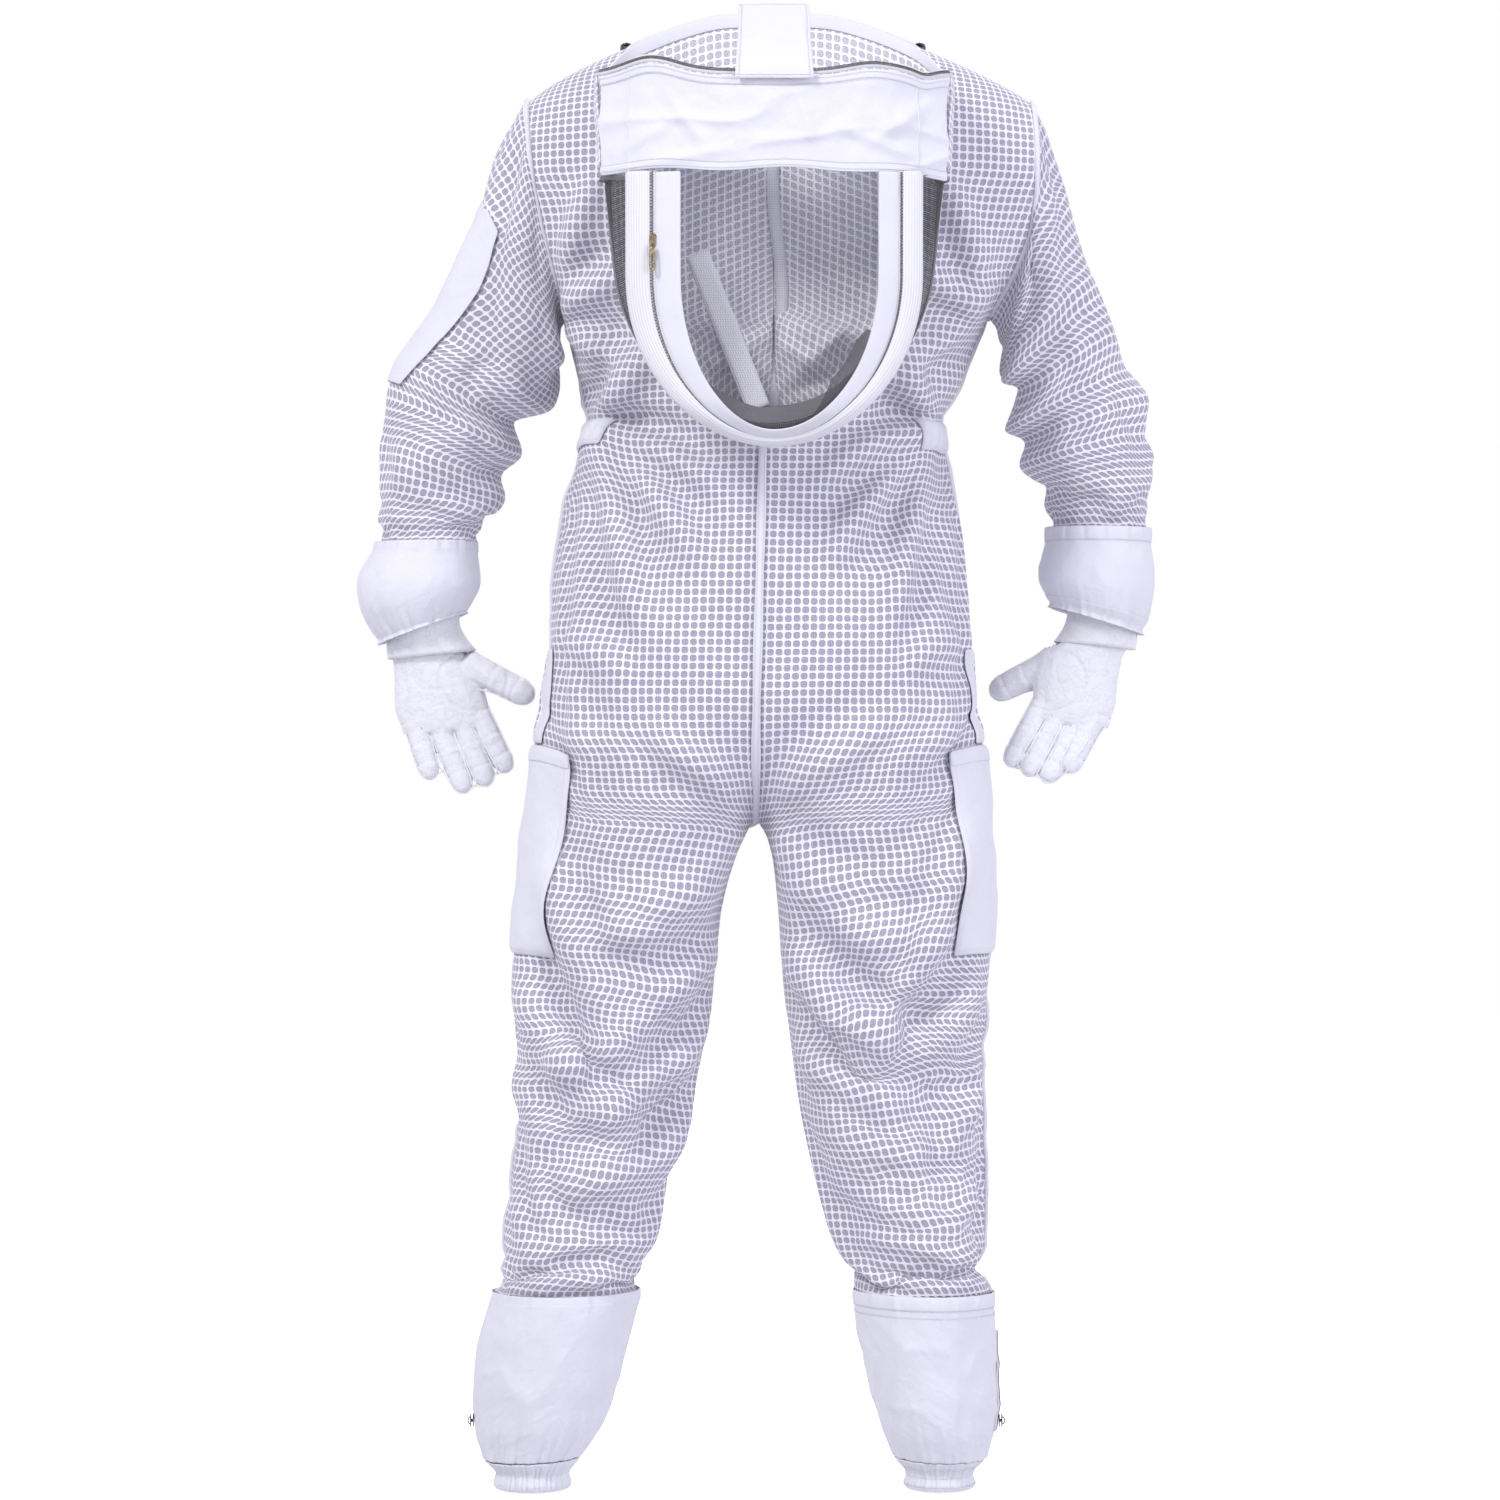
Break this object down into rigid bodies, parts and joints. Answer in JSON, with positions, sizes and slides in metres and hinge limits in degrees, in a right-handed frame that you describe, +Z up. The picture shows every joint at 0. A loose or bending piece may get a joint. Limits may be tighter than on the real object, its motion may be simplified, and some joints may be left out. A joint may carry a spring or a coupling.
{
  "type": "beekeeping suit",
  "caption": "Full-body ventilated mesh beekeeping suit with cotton cuffs, zip-on fencing-veil hood thrown back, pockets, ankle zips and leather gauntlet gloves.",
  "frame": {"origin": "at the wearer's neck, in the neck opening of the suit", "axes": "+Z up, +Y the wearer's front, +X the wearer's right; the thrown-back hood lies on the -Y side"},
  "size_m": [0.795, 0.454, 1.4562],
  "materials": {
    "mesh": "open three-layer spacer mesh, matt",
    "cotton": "plain woven cotton, matt",
    "veil": "fine dark net",
    "padding": "padded dark fabric",
    "webbing": "light ribbed webbing",
    "zip": "dark metal teeth on white tape",
    "slider": "dark gunmetal",
    "brass": "antique brass",
    "leather": "soft white goatskin"
  },
  "bodies": {
    "suit": {"back_panel_left": "mesh", "back_panel_right": "mesh", "front_panel_left": "mesh", "front_panel_right": "mesh", "centre_back_seam": "cotton", "sleeve_left": "mesh", "sleeve_right": "mesh", "wrist_cuff_left": "cotton", "wrist_cuff_right": "cotton", "ankle_cuff_left": "cotton", "ankle_cuff_right": "cotton", "ankle_elastic_left": "cotton", "ankle_elastic_right": "cotton", "waist_elastic_left": "cotton", "waist_elastic_right": "cotton", "thigh_pocket_left": "cotton", "thigh_pocket_right": "cotton", "side_opening_left": "cotton", "side_opening_right": "cotton", "sleeve_pocket": "cotton", "neck_zip_suit_side": "zip", "front_zip": "zip", "ankle_zip_left": "zip", "ankle_zip_right": "zip"},
    "hood": {"chin_band": "cotton", "neck_zip_hood_side": "zip", "hood_arch": "cotton", "veil_zip": "zip", "hood_back_left": "mesh", "hood_back_right": "mesh", "side_veil_left": "veil", "side_veil_right": "veil", "sweatband": "padding", "head_strap": "webbing"},
    "window": {"window_frame": "cotton", "veil_net": "veil"},
    "veil_slider": {"veil_slider": "brass"},
    "veil_pull": {"veil_pull": "brass"},
    "flap": {"neck_flap": "cotton"},
    "neck_slider_left": {"neck_slider_left": "slider"},
    "neck_slider_right": {"neck_slider_right": "slider"},
    "front_slider": {"front_slider": "brass"},
    "front_pull": {"front_pull": "brass"},
    "ankle_slider_left": {"ankle_slider_left": "slider"},
    "ankle_slider_right": {"ankle_slider_right": "slider"},
    "glove_left": {"glove_hand_left": "leather", "gauntlet_left": "cotton"},
    "glove_right": {"glove_hand_right": "leather", "gauntlet_right": "cotton"}
  },
  "joints": [
    {"name": "hood_turn", "type": "hinge", "parent": "suit", "child": "hood", "pos_m": [0.008, -0.104, 0.004], "axis": [-1, 0, 0], "range_deg": [0, 210]},
    {"name": "window_open", "type": "hinge", "parent": "hood", "child": "window", "pos_m": [0.008, -0.286, -0.171], "axis": [-1, 0, 0], "range_deg": [0, 110]},
    {"name": "veil_slider_run", "type": "slide", "parent": "hood", "child": "veil_slider", "axis": [0, -0.0995, 0.995], "range_m": [-0.02, 0.05]},
    {"name": "veil_pull_swing", "type": "hinge", "parent": "veil_slider", "child": "veil_pull", "pos_m": [-0.1075, -0.2745, -0.241], "axis": [-1, 0, 0], "range_deg": [0, 90]},
    {"name": "flap_turn", "type": "hinge", "parent": "hood", "child": "flap", "pos_m": [0.008, -0.2915, -0.094], "axis": [1, 0, 0], "range_deg": [0, 62]},
    {"name": "neck_slider_left_run", "type": "hinge", "parent": "suit", "child": "neck_slider_left", "pos_m": [0.008, -0.015, -0.03], "axis": [0, -0.309, -0.9511], "range_deg": [0, 78]},
    {"name": "neck_slider_right_run", "type": "hinge", "parent": "suit", "child": "neck_slider_right", "pos_m": [0.008, -0.015, -0.03], "axis": [0, 0.309, 0.9511], "range_deg": [0, 78]},
    {"name": "front_slider_run", "type": "slide", "parent": "suit", "child": "front_slider", "axis": [0, 0, -1], "range_m": [0, 0.46]},
    {"name": "front_pull_swing", "type": "hinge", "parent": "front_slider", "child": "front_pull", "pos_m": [0.008, 0.1615, -0.119], "axis": [1, 0, 0], "range_deg": [0, 90]},
    {"name": "ankle_slider_left_run", "type": "slide", "parent": "suit", "child": "ankle_slider_left", "axis": [0, 0, 1], "range_m": [0, 0.08]},
    {"name": "ankle_slider_right_run", "type": "slide", "parent": "suit", "child": "ankle_slider_right", "axis": [0, 0, 1], "range_m": [0, 0.08]},
    {"name": "glove_left_pull", "type": "slide", "parent": "suit", "child": "glove_left", "axis": [-0.1541, 0, -0.9881], "range_m": [0, 0.15]},
    {"name": "glove_right_pull", "type": "slide", "parent": "suit", "child": "glove_right", "axis": [0.0953, 0, -0.9955], "range_m": [0, 0.15]}
  ]
}
